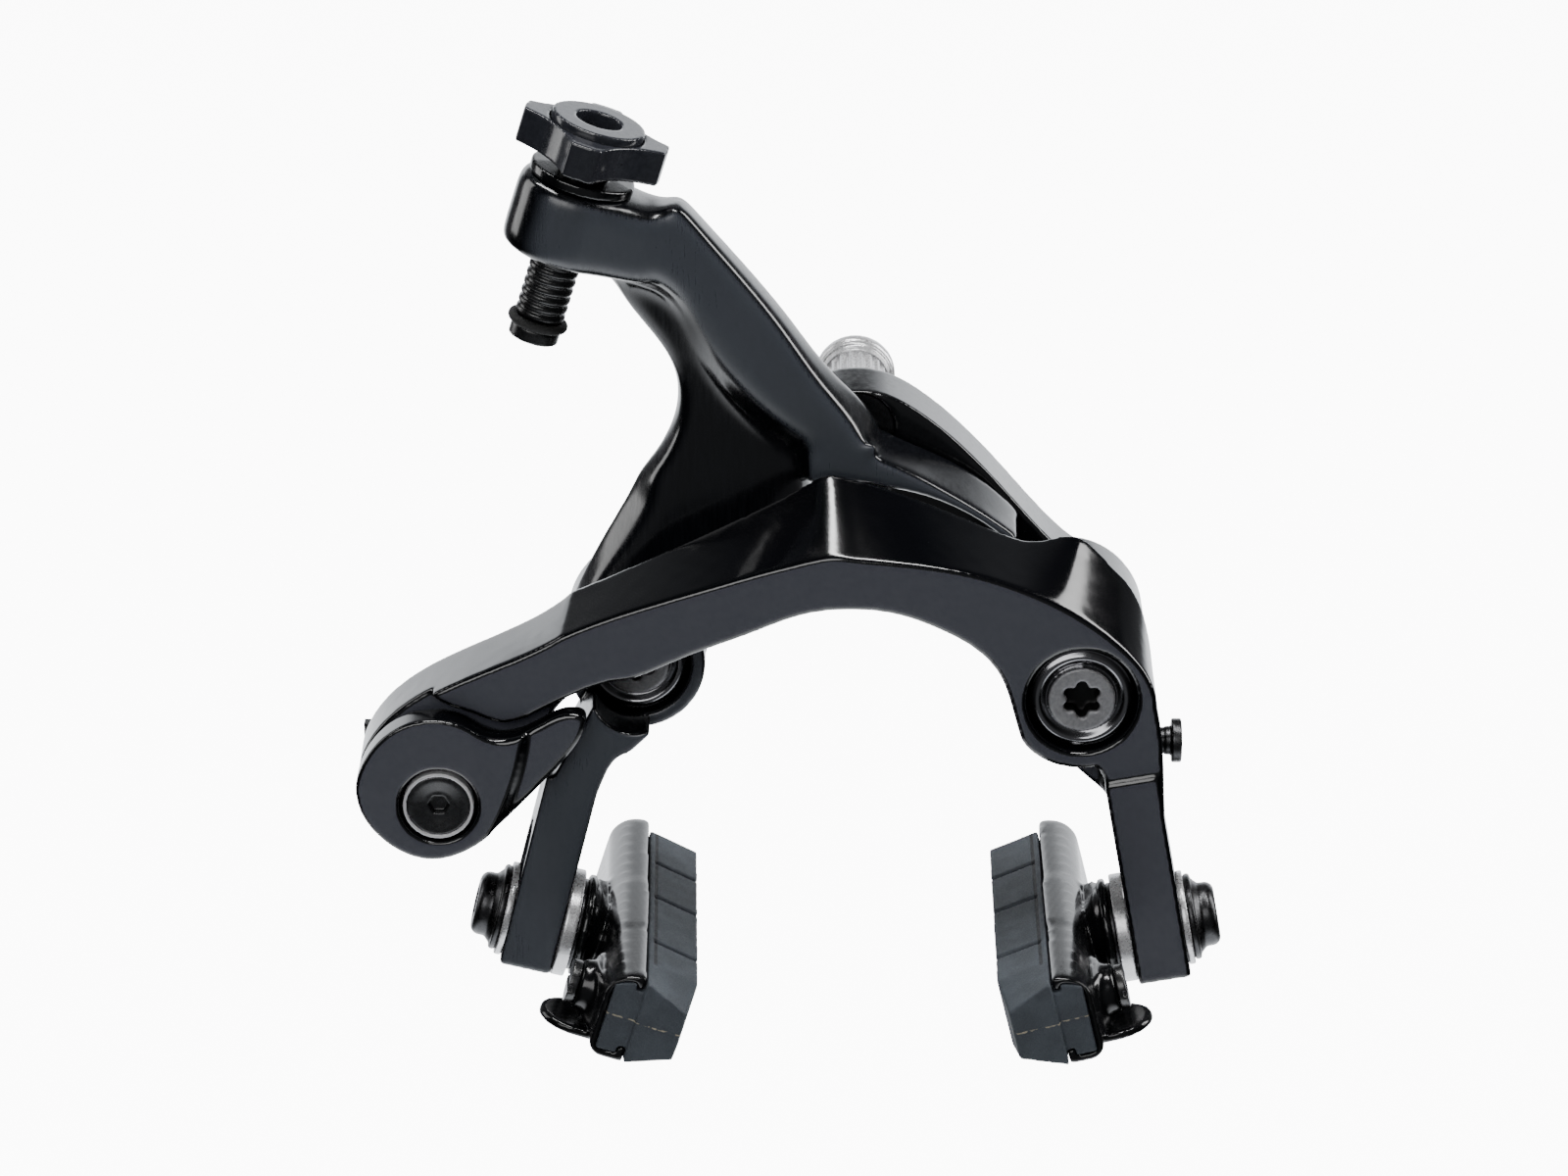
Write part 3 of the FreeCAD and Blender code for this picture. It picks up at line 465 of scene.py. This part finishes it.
def brushed_alloy(name):
    """Black alloy with fine brushing: a painted sheen (lighter colour, a little rougher) on the raised front
    faces, deep gloss elsewhere.
    """
    look = Recipe(name)
    lines = look.noise(1.0, 4, 0.6, (4.0, 1.0, 0.35))
    cloud = look.noise(0.1, 2)
    facing = look.ramp(look.math("MULTIPLY", look.split(look.normal)["Y"], -1.0), 0.72, 0.96)
    raised = look.ramp(look.split(look.place)["Y"], *in_metres(STRUT_PAINTED_SHEEN))
    # The lighter colour on the raised front faces is a painted sheen.
    painted_sheen = look.math("MULTIPLY", facing, raised)
    gloss = look.mix(look.ramp(lines, *MOTTLE), (0.002, 0.0023, 0.0032), (0.004, 0.0046, 0.0062))
    look.feed(look.mix(painted_sheen, gloss, (0.046, 0.052, 0.064)), "Base Color")
    uneven = look.math("ADD", look.ramp(lines, *MOTTLE, 0.0, 0.08), look.ramp(cloud, *MOTTLE, 0.12, 0.18))
    look.feed(look.math("ADD", uneven, look.math("MULTIPLY", painted_sheen, 0.14)), "Roughness")
    look.set(IOR=1.6)
    look.bump(lines, 0.0015, 0.2)
    return look.material


def metal(name, colour, rough, metallic=1.0):
    """Bare or blackened steel with fine uneven marks."""
    look = Recipe(name)
    marks = look.noise(3.0, 4, 0.6)
    look.feed(look.mix(look.ramp(marks, *MOTTLE), colour, shaded(colour, 0.92)), "Base Color")
    look.feed(look.ramp(marks, *MOTTLE, *rough), "Roughness")
    look.set(Metallic=metallic)
    look.bump(marks, 0.001, 0.15)
    return look.material


def bolt_head(name, node_name):
    """Pivot bolt: glossy dark flange, matt light inner head and painted shade, black, in the recess."""
    low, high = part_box(node_name)
    centre = ((low[0] + high[0]) / 2, low[1], (low[2] + high[2]) / 2)
    look = Recipe(name)
    radius = look.axis_distance(centre, "y")
    depth = look.math("SUBTRACT", look.split(look.place)["Y"], centre[1])
    inner = look.ramp(radius, *in_metres(INNER_HEAD))
    # The recess turns black with depth: painted shade.
    painted_recess_shade = look.ramp(depth, *in_metres(RECESS_SHADE))
    grain = look.noise(3.0, 4)
    face = look.mix(look.ramp(grain, *MOTTLE), (0.22, 0.22, 0.23), (0.28, 0.28, 0.29))
    head = look.mix(painted_recess_shade, face, (0.006, 0.006, 0.006))
    look.feed(look.mix(inner, (0.24, 0.24, 0.25), head), "Base Color")
    look.feed(look.ramp(inner, 0.0, 1.0, 0.16, 0.5), "Roughness")
    look.feed(look.ramp(inner, 0.0, 1.0, 1.0, 0.55), "Metallic")
    look.bump(grain, 0.002, 0.2)
    return look.material


def rubber(name, colour):
    """Moulded brake compound: mottled, matt, with a chalky bloom."""
    look = Recipe(name)
    mottle = look.noise(0.35, 4)
    grit = look.noise(6.0, 4, 0.65)
    look.tone = look.mix(look.ramp(mottle, 0.35, 0.7), colour, shaded(colour, 1.3))
    look.feed(look.tone, "Base Color")
    look.feed(look.ramp(grit, *MOTTLE, 0.62, 0.86), "Roughness")
    look.bump(grit, 0.05, 0.5)
    return look


def pad_rubber(side_name):
    """Brake compound with a pale mould line across its front end and a dark line of painted shade beside the
    holder.
    """
    look = rubber("brake_compound_" + side_name, PAD_COLOUR)
    to_shoe = shoe_matrix(side_name).inverted()
    across, along, up = (look.plane(to_shoe[row]) for row in range(3))
    ragged = look.noise(1.5, 5)
    wander = look.math("MULTIPLY", look.math("SUBTRACT", ragged, 0.5), FLASH_WANDER * MM)
    off_flash = look.math("ABSOLUTE", look.math("ADD", up, wander))
    thin = look.ramp(off_flash, *in_metres(FLASH_FADE))
    front = look.ramp(along, *in_metres(FLASH_ALONG))
    flash = look.math("MULTIPLY", look.math("MULTIPLY", thin, front), look.ramp(ragged, 0.42, 0.52))
    # The dark line beside the holder mouth is painted shade where pad and holder meet.
    off_seam_shade = look.math("ABSOLUTE", look.math("SUBTRACT", across, SEAM_SHADE_X * MM))
    in_seam_shade = look.ramp(off_seam_shade, *in_metres(SEAM_SHADE_FADE))
    rear = look.ramp(along, *in_metres(SEAM_SHADE_ALONG))
    seam_shaded = look.mix(look.math("MULTIPLY", in_seam_shade, rear), look.tone, shaded(PAD_COLOUR, 0.3))
    look.feed(look.mix(flash, seam_shaded, FLASH_COLOUR), "Base Color")
    return look.material


def make_materials():
    return {
        "arm": two_tone_alloy("anodised_two_tone"),
        "strut": brushed_alloy("anodised_brushed"),
        "right_head": bolt_head("right_bolt_steel", "pivot_bolt_right"),
        "left_head": bolt_head("left_bolt_steel", "pivot_bolt_left"),
        "gloss": alloy("anodised_gloss", (0.003, 0.0033, 0.0038), rough=(0.1, 0.18)),
        "star": alloy("anodised_star", (0.018, 0.019, 0.024), rough=(0.12, 0.2), ior=1.55),
        "holder": alloy("moulded_gloss", (0.003, 0.0032, 0.0036), rough=(0.14, 0.2), ior=1.45),
        "satin": alloy("anodised_satin", (0.006, 0.0063, 0.007), rough=(0.24, 0.34)),
        "dark": metal("blackened_steel", (0.05, 0.05, 0.052), rough=(0.25, 0.4)),
        "bright": metal("plated_steel", (0.6, 0.6, 0.61), rough=(0.24, 0.34), metallic=0.6),
        "ring_face": metal("polished_ring", (0.62, 0.62, 0.63), rough=(0.3, 0.4), metallic=0.25),
        "wire": metal("spring_wire", (0.5, 0.5, 0.5), rough=(0.2, 0.3)),
        "bush": alloy("bearing_polymer", (0.05, 0.05, 0.05), rough=(0.5, 0.6), ior=1.5),
        "left_pad": pad_rubber("left"),
        "right_pad": pad_rubber("right"),
        "ring": rubber("elastomer", (0.012, 0.012, 0.012)).material,
    }


FINISH = {
    "arm": ["front_arm", "release_lever"],
    "strut": ["rear_arm"],
    "right_head": ["pivot_bolt_right"],
    "left_head": ["pivot_bolt_left"],
    "gloss": ["bridge_plate", "adjuster_collar"],
    "star": ["adjuster_star", "adjuster_seat"],
    "holder": ["shoe_holder_left", "shoe_holder_right"],
    "satin": ["adjuster_rod", "anchor_block", "anchor_plate", "release_screw", "pad_screw_left",
              "pad_screw_right"],
    "dark": ["centre_bolt", "tension_screw", "release_shaft", "anchor_bolt",
             "cup_washer_left", "cup_washer_right", "ball_washer_left", "ball_washer_right", "pad_nut_left",
             "pad_nut_right", "roller_clip", "stub_clip"],
    "ring_face": ["release_ring"],
    "bright": ["toothed_washer", "fork_washer", "cam_roller", "spacer_washer_left",
               "spacer_washer_right", "outer_washer_left", "outer_washer_right"],
    "wire": ["spring_right", "spring_left"],
    "bush": ["spring_seat", "pivot_bush_right", "pivot_bush_left"],
    "left_pad": ["brake_pad_left"],
    "right_pad": ["brake_pad_right"],
    "ring": ["stop_ring"],
}


def finish_pieces(shown, materials):
    for key, names in FINISH.items():
        for name in names:
            slots = shown[name].data.materials
            slots.clear()
            slots.append(materials[key])


# ---------------------------------------------------------------- stage

FLOOR_SIZE = 8
FLOOR_Z = -0.16
FLOOR_GLOW = 10.0

# The surrounding light by direction: strengths, and the direction cosines between which each comes in.
WORLD_COLOUR = (0.93, 0.96, 1.0, 1)
WORLD_DARK = 0.04
WORLD_BACK = 2.4
WORLD_FRONT = 0.1
WORLD_BELOW = 3.0
BACK_Y = (0.35, 0.9)
FRONT_Y = (-0.45, -0.9)
BELOW_Z = (-0.55, -0.85)

# The light behind is a window: directions over which it fades to the sides and upwards, and what is left.
WINDOW_X = (0.38, 0.62)
WINDOW_Z = (0.24, 0.35)
WORLD_FADE = 0.08

# Softboxes: place in metres, width and height in metres, and power in watts. All aim at one point.
SOFTBOXES = {
    "overhead_strip": ((-0.015, 0.0, 0.7), (0.07, 0.8), 7.0),
    "left_softbox": ((-0.8, 0.25, 0.3), (0.35, 0.8), 3.0),
    "right_softbox": ((0.8, 0.15, 0.35), (0.3, 0.8), 9.0),
    "front_fill": ((-0.35, -1.0, 0.55), (0.9, 0.5), 6.0),
}
SOFTBOX_AIM = Vector((0, -0.02, -0.01))


def studio_world():
    """Bright behind and below the object and dark above and in front, so black gloss keeps its contrast."""
    world = bpy.data.worlds.new("studio")
    bpy.context.scene.world = world
    world.use_nodes = True
    sky = Nodes(world.node_tree)
    coord = sky.tree.nodes.new("ShaderNodeTexCoord")
    axes = sky.split(coord.outputs["Generated"])
    glow = sky.ramp(axes["Y"], *BACK_Y, WORLD_DARK, WORLD_BACK)
    for source, fade in ((sky.math("ABSOLUTE", axes["X"]), WINDOW_X), (axes["Z"], WINDOW_Z)):
        glow = sky.math("MULTIPLY", glow, sky.ramp(source, *fade, 1.0, WORLD_FADE))
    glow = sky.math("ADD", glow, sky.ramp(axes["Y"], *FRONT_Y, 0.0, WORLD_FRONT))
    glow = sky.math("ADD", glow, sky.ramp(axes["Z"], *BELOW_Z, 0.0, WORLD_BELOW))
    background = sky.tree.nodes["Background"]
    sky.link(glow, background.inputs["Strength"])
    background.inputs["Color"].default_value = WORLD_COLOUR


def softbox(name, place, size, power):
    data = bpy.data.lights.new(name, "AREA")
    data.shape = "RECTANGLE"
    data.size, data.size_y = size
    data.energy = power
    lamp = bpy.data.objects.new(name, data)
    lamp.location = place
    lamp.rotation_mode = "QUATERNION"
    lamp.rotation_quaternion = (SOFTBOX_AIM - Vector(place)).to_track_quat("-Z", "Y")
    bpy.context.scene.collection.objects.link(lamp)


def studio_floor():
    """A pale floor that glows for the camera alone, so it neither mirrors in the object nor lights it."""
    bpy.ops.mesh.primitive_plane_add(size=FLOOR_SIZE, location=(0, 1.0, FLOOR_Z))
    floor = bpy.context.object
    floor.name = "floor"
    look = Recipe("pale_floor")
    look.set(Base_Color=(0.9, 0.9, 0.9, 1), Roughness=0.9)
    look.set(Emission_Color=(1, 1, 1, 1), Emission_Strength=FLOOR_GLOW)
    floor.data.materials.append(look.material)
    floor.visible_glossy = False
    floor.visible_diffuse = False


def camera():
    data = bpy.data.cameras.new("camera")
    data.lens = LENS
    data.clip_start, data.clip_end = CLIP
    cam = bpy.data.objects.new("camera", data)
    back = Vector((0, -math.cos(CAMERA_PITCH), math.sin(CAMERA_PITCH)))
    cam.location = CAMERA_TARGET + back * CAMERA_DISTANCE
    cam.rotation_euler = (math.pi / 2 - CAMERA_PITCH, 0, 0)
    bpy.context.scene.collection.objects.link(cam)
    bpy.context.scene.camera = cam


finish_pieces(shape_nodes(), make_materials())
studio_floor()
studio_world()
for box_name, box_plan in SOFTBOXES.items():
    softbox(box_name, *box_plan)
camera()
